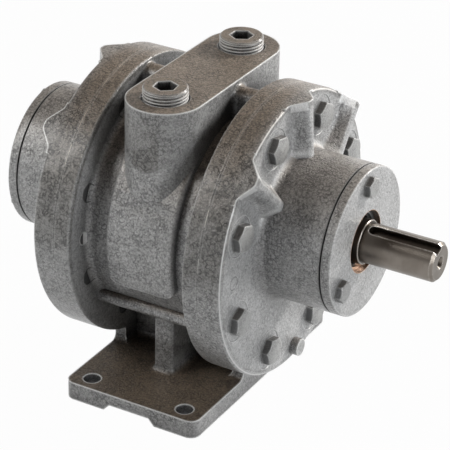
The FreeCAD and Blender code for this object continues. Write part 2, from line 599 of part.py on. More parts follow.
def bearing_cage():
    middle = 0.5 * (BEARING_INNER_FACE + BEARING_OUTER_FACE)
    half = 0.5 * CAGE_THICKNESS
    band_ring = ring(middle - 0.5 * CAGE_WIDTH, middle + 0.5 * CAGE_WIDTH,
                     BEARING_PITCH_RADIUS - half, BEARING_PITCH_RADIUS + half)
    pocket = Part.makeCylinder(BALL_RADIUS + RACE_CLEARANCE, 2 * CAGE_THICKNESS,
                               V(middle, 0, SHAFT_HEIGHT + BEARING_PITCH_RADIUS - CAGE_THICKNESS))
    return band_ring.cut([turned_about_shaft(pocket, i * 360.0 / BALL_COUNT) for i in range(BALL_COUNT)])


# Shaft: one turned bar with bearing journals, an open keyway and a centre-drilled tip

def shaft():
    tip = SHAFT_END_RADIUS - SHAFT_TIP_CHAMFER
    solid = turned([(-SHAFT_REAR_END, 0, 0), (-SHAFT_REAR_END, BEARING_BORE_RADIUS - JOURNAL_CHAMFER, 0),
                    (JOURNAL_CHAMFER - SHAFT_REAR_END, BEARING_BORE_RADIUS, 0),
                    (-BEARING_INNER_FACE, BEARING_BORE_RADIUS, 0), (-BEARING_INNER_FACE, SHAFT_CORE_RADIUS, 0),
                    (BEARING_INNER_FACE, SHAFT_CORE_RADIUS, 0), (BEARING_INNER_FACE, BEARING_BORE_RADIUS, 0),
                    (SHAFT_SHOULDER - MACHINED_EDGE, BEARING_BORE_RADIUS, 0),
                    (SHAFT_SHOULDER, BEARING_BORE_RADIUS - MACHINED_EDGE, 0), (SHAFT_SHOULDER, SHAFT_END_RADIUS, 0),
                    (SHAFT_TIP - SHAFT_TIP_CHAMFER, SHAFT_END_RADIUS, 0), (SHAFT_TIP, tip, 0), (SHAFT_TIP, 0, 0)])
    floor = SHAFT_HEIGHT + SHAFT_END_RADIUS - KEYWAY_DEPTH
    above = SHAFT_HEIGHT + 2 * SHAFT_END_RADIUS
    half = 0.5 * KEYWAY_WIDTH
    end_centre = KEYWAY_START + half
    keyway = upright([(end_centre, -half, 0), (SHAFT_TIP, -half, 0), (SHAFT_TIP, half, 0), (end_centre, half, 0)],
                     floor, above)
    keyway = keyway.fuse(Part.makeCylinder(half, above - floor, V(end_centre, 0, floor)))
    drill = rod_x(CENTRE_DRILL_RADIUS, SHAFT_TIP - CENTRE_DRILL_DEPTH, SHAFT_TIP, 0, SHAFT_HEIGHT)
    mouth_depth = (CENTRE_MOUTH_RADIUS - CENTRE_DRILL_RADIUS) / math.tan(math.radians(30))
    mouth = Part.makeCone(CENTRE_DRILL_RADIUS, CENTRE_MOUTH_RADIUS, mouth_depth,
                          V(SHAFT_TIP - mouth_depth, 0, SHAFT_HEIGHT), V(1, 0, 0))
    groove = ring(-BEARING_OUTER_FACE - CIRCLIP_WIDTH, -BEARING_OUTER_FACE,
                  BEARING_BORE_RADIUS - CIRCLIP_GROOVE_DEPTH, SHAFT_CORE_RADIUS)
    return turned_about_shaft(solid.cut([keyway, drill, mouth, groove]), KEYWAY_ANGLE)


def retaining_ring():
    """Open spring ring in the shaft's groove behind the rear bearing."""
    inner = BEARING_BORE_RADIUS - CIRCLIP_GROOVE_DEPTH
    hoop = ring(-BEARING_OUTER_FACE - CIRCLIP_WIDTH + CIRCLIP_SLACK, -BEARING_OUTER_FACE,
                inner, inner + CIRCLIP_HEIGHT)
    half = math.radians(0.5 * CIRCLIP_GAP_ANGLE)
    far = 2 * BEARING_BORE_RADIUS
    points = [V(-SHAFT_REAR_END, 0, SHAFT_HEIGHT),
              V(-SHAFT_REAR_END, -far * math.sin(half), SHAFT_HEIGHT + far * math.cos(half)),
              V(-SHAFT_REAR_END, far * math.sin(half), SHAFT_HEIGHT + far * math.cos(half))]
    wedge = Part.Face(Part.makePolygon(points + points[:1])).extrude(V(SHAFT_REAR_END, 0, 0))
    return hoop.cut(wedge)


# Rotor and vanes: eight sliding vanes in radial slots, shown flush

def radial_slab(half_width, bottom, top, half_length):
    """Upright slab over the shaft axis, as long as the rotor."""
    outline = rectangle(half_length, half_width)
    return upright(outline, SHAFT_HEIGHT + bottom, SHAFT_HEIGHT + top)


def rotor():
    core = ring(-ROTOR_HALF_LENGTH, ROTOR_HALF_LENGTH, SHAFT_CORE_RADIUS, ROTOR_RADIUS)
    slot = radial_slab(0.5 * VANE_THICKNESS + VANE_SIDE_CLEARANCE, SLOT_BOTTOM, CHAMBER_RADIUS, ROTOR_HALF_LENGTH)
    return core.cut([turned_about_shaft(slot, i * 360.0 / VANE_COUNT) for i in range(VANE_COUNT)])


def vane(index):
    """Flat blade with a rounded outer edge."""
    blank = radial_slab(0.5 * VANE_THICKNESS, VANE_TIP - VANE_HEIGHT, VANE_TIP, ROTOR_HALF_LENGTH)
    tip = rod_x(VANE_TIP_RADIUS, -ROTOR_HALF_LENGTH, ROTOR_HALF_LENGTH, 0, SHAFT_HEIGHT + VANE_TIP - VANE_TIP_RADIUS)
    shank = radial_slab(0.5 * VANE_THICKNESS, VANE_TIP - VANE_HEIGHT, VANE_TIP - VANE_TIP_RADIUS, ROTOR_HALF_LENGTH)
    blade = blank.common(tip).fuse(shank).removeSplitter()
    return turned_about_shaft(blade, index * 360.0 / VANE_COUNT)


# Shaft seal: metal case, rubber ring with its lip on the shaft, and a spring round the lip

def spring_side_in(shape):
    """Turn a seal piece round so that the closed side of its case faces out and its spring the bearing."""
    return shape.mirror(V(0.5 * (SEAL_FACE + SEAL_BACK), 0, 0), V(1, 0, 0))


def seal_case():
    case = turned([(SEAL_BACK, SEAL_CASE_BACK_RADIUS, 0), (SEAL_BACK, SEAL_RADIUS, 0), (SEAL_FACE, SEAL_RADIUS, 0),
                   (SEAL_FACE, SEAL_RUBBER_RADIUS, 0), (SEAL_RUBBER_BACK, SEAL_RUBBER_RADIUS, 0),
                   (SEAL_RUBBER_BACK, SEAL_CASE_BACK_RADIUS, 0)])
    return spring_side_in(case)


def seal_lip():
    """Rubber ring that lines the case, with a groove for the spring round its lip."""
    lip = turned([(SEAL_RUBBER_BACK, SEAL_LIP_RADIUS + SEAL_LIP_RAKE, 0), (SEAL_RUBBER_BACK, SEAL_RUBBER_RADIUS, 0),
                  (SEAL_RUBBER_FACE, SEAL_RUBBER_RADIUS, 0), (SEAL_RUBBER_FACE, SEAL_GROOVE_OUTER, 0),
                  (SEAL_GROOVE_FLOOR, SEAL_GROOVE_OUTER, SEAL_GROOVE_ROUND),
                  (SEAL_GROOVE_FLOOR, SEAL_GROOVE_INNER, SEAL_GROOVE_ROUND),
                  (SEAL_RUBBER_FACE, SEAL_GROOVE_INNER, 0), (SEAL_RUBBER_FACE, SEAL_LIP_RADIUS, 0),
                  (SEAL_GROOVE_FLOOR, SEAL_LIP_RADIUS, 0)])
    return spring_side_in(lip)


def seal_spring():
    x = SEAL_GROOVE_FLOOR + SEAL_SPRING_RADIUS + SEAL_SPRING_CLEARANCE
    pitch_radius = 0.5 * (SEAL_GROOVE_INNER + SEAL_GROOVE_OUTER)
    return spring_side_in(Part.makeTorus(pitch_radius, SEAL_SPRING_RADIUS, V(x, 0, SHAFT_HEIGHT), V(1, 0, 0)))


# Port plugs: threaded plugs with a hexagon socket, screwed into the boss until they stand a little proud

def port_plug(side, turn):
    y = side * 0.5 * PORT_SPACING
    radius = PORT_THREAD_RADIUS - PLUG_CLEARANCE
    top = BOSS_TOP + PLUG_STAND_OUT
    blank = Part.makeCylinder(radius, PLUG_LENGTH - PLUG_TOP_CHAMFER, V(0, y, top - PLUG_LENGTH))
    crown = Part.makeCone(radius, radius - PLUG_TOP_CHAMFER, PLUG_TOP_CHAMFER, V(0, y, top - PLUG_TOP_CHAMFER))
    circle = 0.5 * PLUG_SOCKET_FLATS / math.cos(math.radians(30))
    points = [V(circle * math.cos(math.radians(turn + 60 * i)), y + circle * math.sin(math.radians(turn + 60 * i)),
                top - PLUG_SOCKET_DEPTH) for i in range(6)]
    socket = Part.Face(Part.makePolygon(points + points[:1])).extrude(V(0, 0, PLUG_SOCKET_DEPTH))
    return blank.fuse(crown).removeSplitter().cut(socket)


def build_nodes():
    nodes = {"body": body()}
    drive = {"end_plate": end_plate(), "body_gasket": body_gasket(), "cap_gasket": cap_gasket(),
             "plate_bolts": plate_bolts(), "cap_bolts": cap_bolts(), "dowels": dowels(),
             "bearing_outer_ring": bearing_ring(BEARING_OUTER_RADIUS - RING_WALL_OUTER, BEARING_OUTER_RADIUS),
             "bearing_inner_ring": bearing_ring(BEARING_BORE_RADIUS, BEARING_BORE_RADIUS + RING_WALL_INNER),
             "bearing_balls": bearing_balls(), "bearing_cage": bearing_cage()}
    for name, shape in drive.items():
        nodes["drive_" + name] = shape
        nodes["rear_" + name] = mirrored(shape)
    nodes["drive_end_cap"] = cap(bored=True)
    nodes["rear_end_cap"] = mirrored(cap(bored=False))
    nodes["seal_case"] = seal_case()
    nodes["seal_lip"] = seal_lip()
    nodes["seal_spring"] = seal_spring()
    nodes["shaft"] = shaft()
    nodes["retaining_ring"] = retaining_ring()
    nodes["rotor"] = rotor()
    for i in range(VANE_COUNT):
        nodes["vane_%d" % (i + 1)] = vane(i)
    nodes["port_plug_front"] = port_plug(-1, PLUG_FRONT_TURN)
    nodes["port_plug_rear"] = port_plug(1, PLUG_REAR_TURN)
    return nodes


os.makedirs("parts", exist_ok=True)
for node_name, node_shape in build_nodes().items():
    node_shape.exportStep("parts/" + node_name + ".step")
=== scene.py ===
import math

import bmesh
import bpy
from mathutils import Matrix, Vector


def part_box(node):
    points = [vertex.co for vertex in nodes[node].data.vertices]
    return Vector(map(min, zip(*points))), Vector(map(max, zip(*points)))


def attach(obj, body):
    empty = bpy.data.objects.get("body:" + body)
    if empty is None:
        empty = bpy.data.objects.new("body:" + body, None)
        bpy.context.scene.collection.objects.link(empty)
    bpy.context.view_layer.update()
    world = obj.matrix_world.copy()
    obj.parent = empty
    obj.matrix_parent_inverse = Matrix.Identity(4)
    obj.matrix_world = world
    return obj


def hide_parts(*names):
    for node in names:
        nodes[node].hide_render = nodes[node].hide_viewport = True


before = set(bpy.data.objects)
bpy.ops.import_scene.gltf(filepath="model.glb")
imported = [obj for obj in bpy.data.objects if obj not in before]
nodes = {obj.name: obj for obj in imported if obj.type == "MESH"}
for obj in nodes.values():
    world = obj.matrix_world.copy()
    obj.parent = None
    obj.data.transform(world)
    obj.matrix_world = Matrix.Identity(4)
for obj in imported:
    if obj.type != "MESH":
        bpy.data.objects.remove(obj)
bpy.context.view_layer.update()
MM = 0.001


# Camera.
# The motor is seen from its shaft end and front side, from above, through a long lens.
view_azimuth, view_elevation, view_roll = math.radians(29.42), math.radians(28.01), math.radians(1.32)
view_distance = 1223.32 * MM
view_lens = 176.35
film_width = 36
farthest_seen = 20
shaft_height = 104.7 * MM
aim_right, aim_up = 13.01 * MM, -16.31 * MM

back = Vector((math.sin(view_azimuth) * math.cos(view_elevation),
               -math.cos(view_azimuth) * math.cos(view_elevation), math.sin(view_elevation)))
level_right = Vector((math.cos(view_azimuth), math.sin(view_azimuth), 0))
level_up = back.cross(level_right)
aim = Vector((0, 0, shaft_height)) + level_right * aim_right + level_up * aim_up
right = level_right * math.cos(view_roll) + level_up * math.sin(view_roll)
up = level_up * math.cos(view_roll) - level_right * math.sin(view_roll)
camera = bpy.data.objects.new("camera", bpy.data.cameras.new("camera"))
bpy.context.scene.collection.objects.link(camera)
camera.data.lens = view_lens
camera.data.sensor_width = film_width
camera.data.clip_end = farthest_seen
turned = Matrix((right, up, back)).transposed().to_4x4()
camera.matrix_world = Matrix.Translation(aim + back * view_distance) @ turned
bpy.context.scene.camera = camera


# Studio.
# A table in a room with white walls and a dark brown ceiling. The main lamp stands at the shaft end, a weaker
# one on the left, and a bright one behind, whose light catches every rounded edge.
lamp_aim = Vector((0, 0, 90 * MM))


def lamp(name, place, width, power, colour):
    light = bpy.data.lights.new(name, "AREA")
    light.size = width
    light.energy = power
    light.color = colour
    holder = bpy.data.objects.new(name, light)
    bpy.context.scene.collection.objects.link(holder)
    holder.location = place
    holder.rotation_euler = (lamp_aim - Vector(place)).to_track_quat("-Z", "Y").to_euler()


lamp("shaft_end_lamp", (1.50, -0.12, 0.45), 0.7, 9.8, (0.96, 0.98, 1.0))
lamp("left_lamp", (-0.72, -0.62, 0.78), 0.5, 6.5, (1.0, 1.0, 0.99))
lamp("edge_lamp", (0.75, 1.23, 0.80), 0.35, 22, (1.0, 0.98, 0.95))
lamp("back_lamp", (-0.2, 1.5, 0.6), 0.8, 2, (1.0, 0.99, 0.97))
lamp("top_lamp", (0.3, 0.1, 1.5), 0.6, 1.5, (1.0, 0.93, 0.86))


class Signal:
    """A node's socket that can be added to, multiplied and so on."""

    def __init__(self, recipe, socket):
        self.recipe = recipe
        self.socket = socket

    def __add__(self, other):
        return self.recipe.maths("ADD", self, other)

    def __radd__(self, other):
        return self.recipe.maths("ADD", other, self)

    def __sub__(self, other):
        return self.recipe.maths("SUBTRACT", self, other)

    def __rsub__(self, other):
        return self.recipe.maths("SUBTRACT", other, self)

    def __mul__(self, other):
        return self.recipe.maths("MULTIPLY", self, other)

    def __rmul__(self, other):
        return self.recipe.maths("MULTIPLY", other, self)

    def __truediv__(self, other):
        return self.recipe.maths("DIVIDE", self, other)


class Recipe:
    """One node tree being built."""

    def __init__(self, tree):
        self.tree = tree
        self.tree.nodes.clear()

    def add(self, kind, settings=None, sockets=None, output=0):
        """A node with its settings made first, then the values or signals of its sockets."""
        node = self.tree.nodes.new(kind)
        for key, value in (settings or {}).items():
            setattr(node, key, value)
        for key, value in (sockets or {}).items():
            socket = node.inputs[key]
            if isinstance(value, Signal):
                self.tree.links.new(value.socket, socket)
            else:
                socket.default_value = value
        return Signal(self, node.outputs[output])

    def other(self, signal, output):
        """Another output of the node that a signal comes from."""
        return Signal(self, signal.socket.node.outputs[output])

    def maths(self, operation, first, second=0.0):
        return self.add("ShaderNodeMath", {"operation": operation}, {0: first, 1: second})

    def split(self, vector):
        """X, Y and Z of a vector."""
        x = self.add("ShaderNodeSeparateXYZ", {}, {0: vector})
        return x, self.other(x, 1), self.other(x, 2)

    def join(self, x=0.0, y=0.0, z=0.0):
        return self.add("ShaderNodeCombineXYZ", {}, {0: x, 1: y, 2: z})

    def length(self, x=0.0, y=0.0, z=0.0):
        return self.add("ShaderNodeVectorMath", {"operation": "LENGTH"}, {0: self.join(x, y, z)}, "Value")

    def fade(self, value, low, high):
        """0 below low, 1 above high and smooth between; low may be the larger one."""
        return self.add("ShaderNodeMapRange", {"interpolation_type": "SMOOTHSTEP"},
                        {"Value": value, "From Min": low, "From Max": high})

    def line(self, value, middle, half_width):
        """1 where a value is at the middle, down to 0 at half a width from it."""
        return self.fade(self.maths("ABSOLUTE", value - middle), half_width, 0.0)

    def mix(self, factor, first, second, blend="MIX"):
        """Colour between first and second."""
        colours = {6: first, 7: second}
        for key, value in colours.items():
            if not isinstance(value, Signal):
                colours[key] = (*value, 1)
        settings = {"data_type": "RGBA", "blend_type": blend}
        return self.add("ShaderNodeMix", settings, {0: factor, **colours}, 2)

    def shows_background(self):
        """1 where the eye looks straight at it, and 1 there, in a mirror or through glass."""
        seen = self.add("ShaderNodeLightPath", output="Is Camera Ray")
        mirrored = self.other(seen, "Is Glossy Ray")
        through = self.other(seen, "Is Transmission Ray")
        return seen, self.maths("MINIMUM", seen + mirrored + through, 1.0)


world = bpy.data.worlds.new("studio")
bpy.context.scene.world = world
world.use_nodes = True
wall_white = (1.0, 1.0, 1.0)
ceiling_brown = (0.075, 0.060, 0.047)
wall_top, ceiling_start = 0.08, 0.40
wall_light = 0.035


def studio_air():
    """White walls low down and a dim ceiling; the walls light the room far less than they show."""
    air = Recipe(world.node_tree)
    height = air.split(air.add("ShaderNodeTexCoord", output="Generated"))[2]
    room = air.mix(air.fade(height, wall_top, ceiling_start), wall_white, ceiling_brown)
    seen, shown = air.shows_background()
    colour = air.mix(seen, room, wall_white)
    strength = wall_light + (1 - wall_light) * shown
    glow = air.add("ShaderNodeBackground", {}, {"Color": colour, "Strength": strength})
    air.tree.links.new(glow.socket, air.tree.nodes.new("ShaderNodeOutputWorld").inputs["Surface"])


studio_air()
table_reach = 3.0
table_grey = (0.25, 0.25, 0.25, 1)
table_white = (1, 1, 1, 1)
table_glow = 0.98
bpy.ops.mesh.primitive_plane_add(size=2 * table_reach, location=(0, 0, 0))
table = bpy.context.object
table.name = "table"
table.data.materials.append(bpy.data.materials.new("table white"))
table.data.materials[0].use_nodes = True


def table_paint():
    """Matt paint that takes the motor's faint shadow and shows as a white background."""
    paint = Recipe(table.data.materials[0].node_tree)
    matt = paint.add("ShaderNodeBsdfDiffuse", {}, {"Color": table_grey})
    glow = paint.add("ShaderNodeEmission", {}, {"Color": table_white, "Strength": 1.0})
    shown = paint.shows_background()[1]
    both = paint.add("ShaderNodeMixShader", {}, {0: shown * table_glow, 1: matt, 2: glow})
    paint.tree.links.new(both.socket, paint.tree.nodes.new("ShaderNodeOutputMaterial").inputs["Surface"])


table_paint()
bpy.context.scene.view_settings.view_transform = "Standard"


# Turned and cast surfaces.
# Round faces are shaded smooth, and edges sharper than a set angle stay crisp.
crisp_angle = math.radians(32)
weld_reach = 0.002 * MM


class Shape(Recipe):
    """A Geometry Nodes tree from a geometry and named inputs to a geometry."""

    kinds = {bpy.types.Material: "NodeSocketMaterial", Vector: "NodeSocketVector", int: "NodeSocketInt",
             float: "NodeSocketFloat"}

    def __init__(self, name, **inputs):
        super().__init__(bpy.data.node_groups.new(name, "GeometryNodeTree"))
        sockets = self.tree.interface
        sockets.new_socket("Geometry", in_out="OUTPUT", socket_type="NodeSocketGeometry")
        sockets.new_socket("Geometry", in_out="INPUT", socket_type="NodeSocketGeometry")
        self.keys = {}
        for label, value in inputs.items():
            socket = sockets.new_socket(label, in_out="INPUT", socket_type=self.kinds[type(value)])
            self.keys[label] = (socket.identifier, value)
        self.start = self.tree.nodes.new("NodeGroupInput")

    def given(self, label="Geometry"):
        return Signal(self, self.start.outputs[label])

    def close(self, geometry):
        self.tree.links.new(geometry.socket, self.tree.nodes.new("NodeGroupOutput").inputs["Geometry"])
        return self

    def put_on(self, piece):
        """A modifier with this tree and its inputs on a piece."""
        modifier = piece.modifiers.new(self.tree.name, "NODES")
        modifier.node_group = self.tree
        for identifier, value in self.keys.values():
            modifier[identifier] = value
        return modifier

    def apply_to(self, piece):
        """Turns what this tree makes of a piece into the piece's own plain mesh."""
        modifier = self.put_on(piece)
        evaluated = piece.evaluated_get(bpy.context.evaluated_depsgraph_get())
        made = bpy.data.meshes.new_from_object(evaluated)
        piece.modifiers.remove(modifier)
        piece.data = made


def smooth_rounds():
    shape = Shape("smooth rounds", Crisp=crisp_angle)
    weld = shape.add("GeometryNodeMergeByDistance", {}, {"Geometry": shape.given(), "Distance": weld_reach})
    smooth = shape.add("GeometryNodeSetShadeSmooth", {}, {"Geometry": weld})
    fold = shape.add("GeometryNodeInputMeshEdgeAngle", output="Unsigned Angle")
    sharp = shape.add("FunctionNodeCompare", {"operation": "GREATER_THAN"},
                      {0: fold, 1: shape.given("Crisp")})
    return shape.close(shape.add("GeometryNodeSetShadeSmooth", {"domain": "EDGE"},
                                 {"Geometry": smooth, "Selection": sharp, "Shade Smooth": False}))


rounds = smooth_rounds()
for cad_node in nodes.values():
    rounds.put_on(cad_node)


# Cast housing.
# Grey iron castings under one coat of silver-grey hammered enamel, which dries with fine grains and crooked,
# broken dark lines. Its edges get a painted highlight, and faces turned up get a painted brown reflection of
# the ceiling. Corners, recesses and the foot's top under the motor get painted shade. The sides of the
# flanges' rims are darker. Through the bolt holes, the flanges' inner faces show thin dark arcs.
enamel_light = (0.72, 0.72, 0.72)
enamel_dark = (0.21, 0.21, 0.21)
crack_dark = (0.09, 0.09, 0.09)
painted_highlight_white = (0.95, 0.95, 0.94)
reflection_brown = (0.58, 0.45, 0.33)
painted_shade_dark = (0.08, 0.08, 0.085)
rim_dark_tone = (0.48, 0.47, 0.45)
gap_black = (0.01, 0.01, 0.01)
gap_and_shadow_dark = (0.03, 0.03, 0.03)
lump_size, grain_size = 1.15 * MM, 0.7 * MM
crack_size, crack_length = 2.6 * MM, 3 * MM
patch_size, cloud_size = 8 * MM, 24 * MM
grain_spread = (0.38, 0.62)
crack_spread = (0.36, 0.52)
patch_spread = (0.38, 0.56)
cloud_spread = (0.3, 0.7)
enamel_depth, enamel_edge = 0.55 * MM, 0.6 * MM
calm_of_ends = 0.35
highlight_reach, highlight_spread, highlight_strength = 1.1 * MM, (0.93, 0.66), 0.85
corner_shade_reach, corner_shade_spread, corner_shade_strength = 18 * MM, (0.74, 0.26), 0.95
reflection_tilt, reflection_strength = (0.25, 0.95), 0.85
rim_dark_tilt, top_tilt = (-0.15, 0.15), (1.0, 0.6)
body_joint, cap_joint = 44.7 * MM, 95.6 * MM
joint_reach, gap_reach = 2 * MM, 1.5 * MM
plate_front, hub_start = 50 * MM, 60 * MM
foot_low, foot_high = 15 * MM, 40 * MM
flange_y, flange_z = 0.0, 97.55 * MM
rim_start, rim_reach = 77 * MM, 79 * MM
shaft_y, shaft_z = 0.0, shaft_height
bolt_count = 8
bolt_pitch_radius = 66.2 * MM
bolt_hole_radius = 5.06 * MM
hole_line, hole_reach = 0.6 * MM, 1 * MM
flange_inner = 34 * MM


class Paint(Recipe):
    """The recipe of one material."""

    def __init__(self, name):
        self.material = bpy.data.materials.new(name)
        self.material.use_nodes = True
        super().__init__(self.material.node_tree)
        self.place = self.add("ShaderNodeTexCoord", output="Object")

    def noise(self, size, detail=2.0, roughness=0.5, place=None, output="Fac"):
        """Cloudy noise with blotches of about the given size in metres."""
        sockets = {"Vector": place or self.place, "Scale": 1 / size, "Detail": detail, "Roughness": roughness}
        return self.add("ShaderNodeTexNoise", {}, sockets, output)

    def cracks(self, size):
        """1 on crooked lines round cells of about the given size, 0 inside them."""
        wander = self.noise(0.5 * size, 2.0, 0.6, output="Color")
        shift = self.add("ShaderNodeVectorMath", {"operation": "SCALE"},
                         {0: wander, "Scale": 0.9 * size}, "Vector")
        place = self.add("ShaderNodeVectorMath", {"operation": "ADD"}, {0: self.place, 1: shift}, "Vector")
        border = self.add("ShaderNodeTexVoronoi", {"feature": "DISTANCE_TO_EDGE"},
                          {"Vector": place, "Scale": 1 / size}, "Distance")
        return self.fade(border, 0.16, 0.03)

    def station(self):
        """Distance along the shaft from the motor's middle, towards either end."""
        return self.maths("ABSOLUTE", self.split(self.place)[0])

    def height(self):
        """Height above the table."""
        return self.split(self.place)[2]

    def from_line(self, middle_y, middle_z):
        """Distance from a line along X."""
        y, z = self.split(self.place)[1:]
        return self.length(0.0, y - middle_y, z - middle_z)

    def edge(self, radius):
        """Surface direction with every edge rounded to a radius."""
        return self.add("ShaderNodeBevel", {"samples": 4}, {"Radius": radius})

    def relief(self, height, depth, normal=None):
        """Bump whose full height is depth metres."""
        sockets = {"Height": height, "Distance": depth, "Strength": 1.0}
        if normal:
            sockets["Normal"] = normal
        return self.add("ShaderNodeBump", {}, sockets)

    def faces_up(self):
        """1 on level tops, 0 on upright sides and -1 underneath."""
        return self.split(self.add("ShaderNodeNewGeometry", output="Normal"))[2]

    def faces_end(self):
        """1 on faces square to the shaft and 0 on faces along it."""
        return self.maths("ABSOLUTE", self.split(self.add("ShaderNodeNewGeometry", output="Normal"))[0])

    def openness(self, reach, inside=False):
        """1 in the open, lower in corners within reach; with inside, lower along the outer edges instead."""
        settings = {"samples": 6, "inside": inside, "only_local": inside}
        return self.add("ShaderNodeAmbientOcclusion", settings, {"Distance": reach}, "AO")

    def surface(self, **sockets):
        """Closes the material with one Principled shader and returns it."""
        named = {key.replace("_", " "): value for key, value in sockets.items()}
        shader = self.add("ShaderNodeBsdfPrincipled", {}, named)
        output = self.tree.nodes.new("ShaderNodeOutputMaterial")
        self.tree.links.new(shader.socket, output.inputs["Surface"])
        return self.material


def dress(material, *names):
    """Gives CAD nodes one material."""
    for name in names:
        slots = nodes[name].data.materials
        slots.clear()
        slots.append(material)


def hammered_enamel(name, light=enamel_light, dark=enamel_dark, scale=1.0, marks=None):
    """Enamel on a piece, whose own marks change its colour and where its edges get a painted highlight."""
    paint = Paint(name)
    station, height, faces_up = paint.station(), paint.height(), paint.faces_up()
    lump = paint.noise(scale * lump_size, 2.0, 0.6)
    grain = paint.noise(scale * grain_size, 2.0, 0.6)
    patch = paint.fade(paint.noise(patch_size), *patch_spread)
    cloud = paint.fade(paint.noise(cloud_size, 3.0), *cloud_spread)
    calm = 1 - calm_of_ends * paint.faces_end()
    broken = paint.fade(paint.noise(crack_length), *crack_spread)
    crack = paint.cracks(scale * crack_size) * (0.3 + 0.7 * patch) * broken * calm
    # The sides and upper sides of the flanges' rims are darker, in patches, and their cracks are darker too.
    rim_darkening = paint.fade(paint.from_line(flange_y, flange_z), rim_start, rim_reach)
    rim_darkening = rim_darkening * paint.fade(faces_up, *rim_dark_tilt) * paint.fade(faces_up, *top_tilt)
    lightness = 0.45 * paint.fade(lump, *grain_spread) + 0.35 * paint.fade(grain, *grain_spread) + 0.2 * cloud
    colour = paint.mix(0.5 + (lightness - 0.5) * calm, dark, light)
    colour = paint.mix((0.62 + 0.3 * rim_darkening) * crack, colour, crack_dark)
    colour = paint.mix(rim_darkening * (0.8 + 0.2 * patch), colour, rim_dark_tone, "MULTIPLY")
    # Painted highlight: a bright line along the outer edges, where light catches their rounding.
    edge_highlight = paint.fade(paint.openness(highlight_reach, inside=True), *highlight_spread)
    for joint in (body_joint, cap_joint):
        edge_highlight = edge_highlight * (1 - paint.line(station, joint, joint_reach))
    colour = paint.mix(paint.line(station, cap_joint, gap_reach), colour, gap_black)
    if marks:
        colour, edge_highlight = marks(paint, colour, edge_highlight)
    # Painted shade: corners and recesses within reach are darkened, where less light falls.
    painted_recess_shade = paint.fade(paint.openness(corner_shade_reach), *corner_shade_spread)
    # Painted reflection: faces turned up take the brown of the ceiling, less so on the hubs and caps.
    painted_top_reflection = paint.fade(faces_up, *reflection_tilt) * (1 - 0.45 * paint.fade(station, plate_front, hub_start))
    # Painted shadow on the foot's top, under the motor; it also deepens the painted brown reflection there.
    foot_shadow = paint.fade(height, foot_high, foot_low)
    colour = paint.mix(painted_top_reflection * (reflection_strength + 0.15 * foot_shadow), colour, reflection_brown, "MULTIPLY")
    colour = paint.mix(painted_top_reflection * foot_shadow * 0.35, colour, painted_shade_dark, "MULTIPLY")
    colour = paint.mix(painted_recess_shade * corner_shade_strength, colour, painted_shade_dark, "MULTIPLY")
    colour = paint.mix(edge_highlight * highlight_strength, colour, painted_highlight_white)
    swell = (0.7 * lump + 0.35 * grain - 0.35 * crack) * calm * (1 - 0.8 * edge_highlight)
    return paint.surface(Base_Color=colour, Metallic=0.15, Roughness=0.44 - 0.06 * grain,
                         Coat_Weight=0.4, Coat_Roughness=0.22,
                         Normal=paint.relief(swell, enamel_depth, paint.edge(enamel_edge)))


def from_bolts(paint):
    """Distance from the nearest bolt's middle line, and from the flange's."""
    y, z = paint.split(paint.place)[1:]
    rise = z - flange_z
    sector = 2 * math.pi / bolt_count
    turn = paint.maths("FLOORED_MODULO", paint.maths("ARCTAN2", y, rise), sector) - sector / 2
    reach = paint.length(0.0, y, rise)
    along = reach * paint.maths("COSINE", turn) - bolt_pitch_radius
    return paint.length(along, reach * paint.maths("SINE", turn)), reach


def bolt_holes(paint, colour, edge_highlight):
    from_bolt, reach = from_bolts(paint)
    in_flange = paint.fade(paint.station(), flange_inner - 0.2 * MM, flange_inner)
    in_flange = in_flange * paint.fade(reach, rim_reach, rim_reach - hole_reach)
    wall = paint.line(from_bolt, bolt_hole_radius, hole_line) * in_flange
    beside = paint.fade(from_bolt, bolt_hole_radius + 2 * hole_reach, bolt_hole_radius + hole_reach)
    return paint.mix(wall * 0.9, colour, gap_and_shadow_dark), edge_highlight * (1 - beside * in_flange)


dress(hammered_enamel("body enamel", marks=bolt_holes), "body")
dress(hammered_enamel("housing enamel"), "rear_end_cap")


# End plates.
# Fine dark arcs are painted shadow along the edges of the shallow bolt seats, and under the paint dark rings
# show where the dowels were driven in. The rim's rounded edge and the upper side of the hub's root get a
# painted highlight, weaker on the rear plate, and the lower side of the hub's root gets painted shade.
hub_root_radius, hub_root_width = 44.4 * MM, 4 * MM
painted_hub_shade = (0.08, 0.08, 0.08)
root_highlight_from, root_highlight_to = 6 * MM, 26 * MM
seat_radius, seat_line, seat_arc = 11.3 * MM, 0.35 * MM, 10 * MM
dowel_radius, dowel_line, dowel_reach = 3.6 * MM, 0.5 * MM, 1 * MM
rear_highlight = 0.25


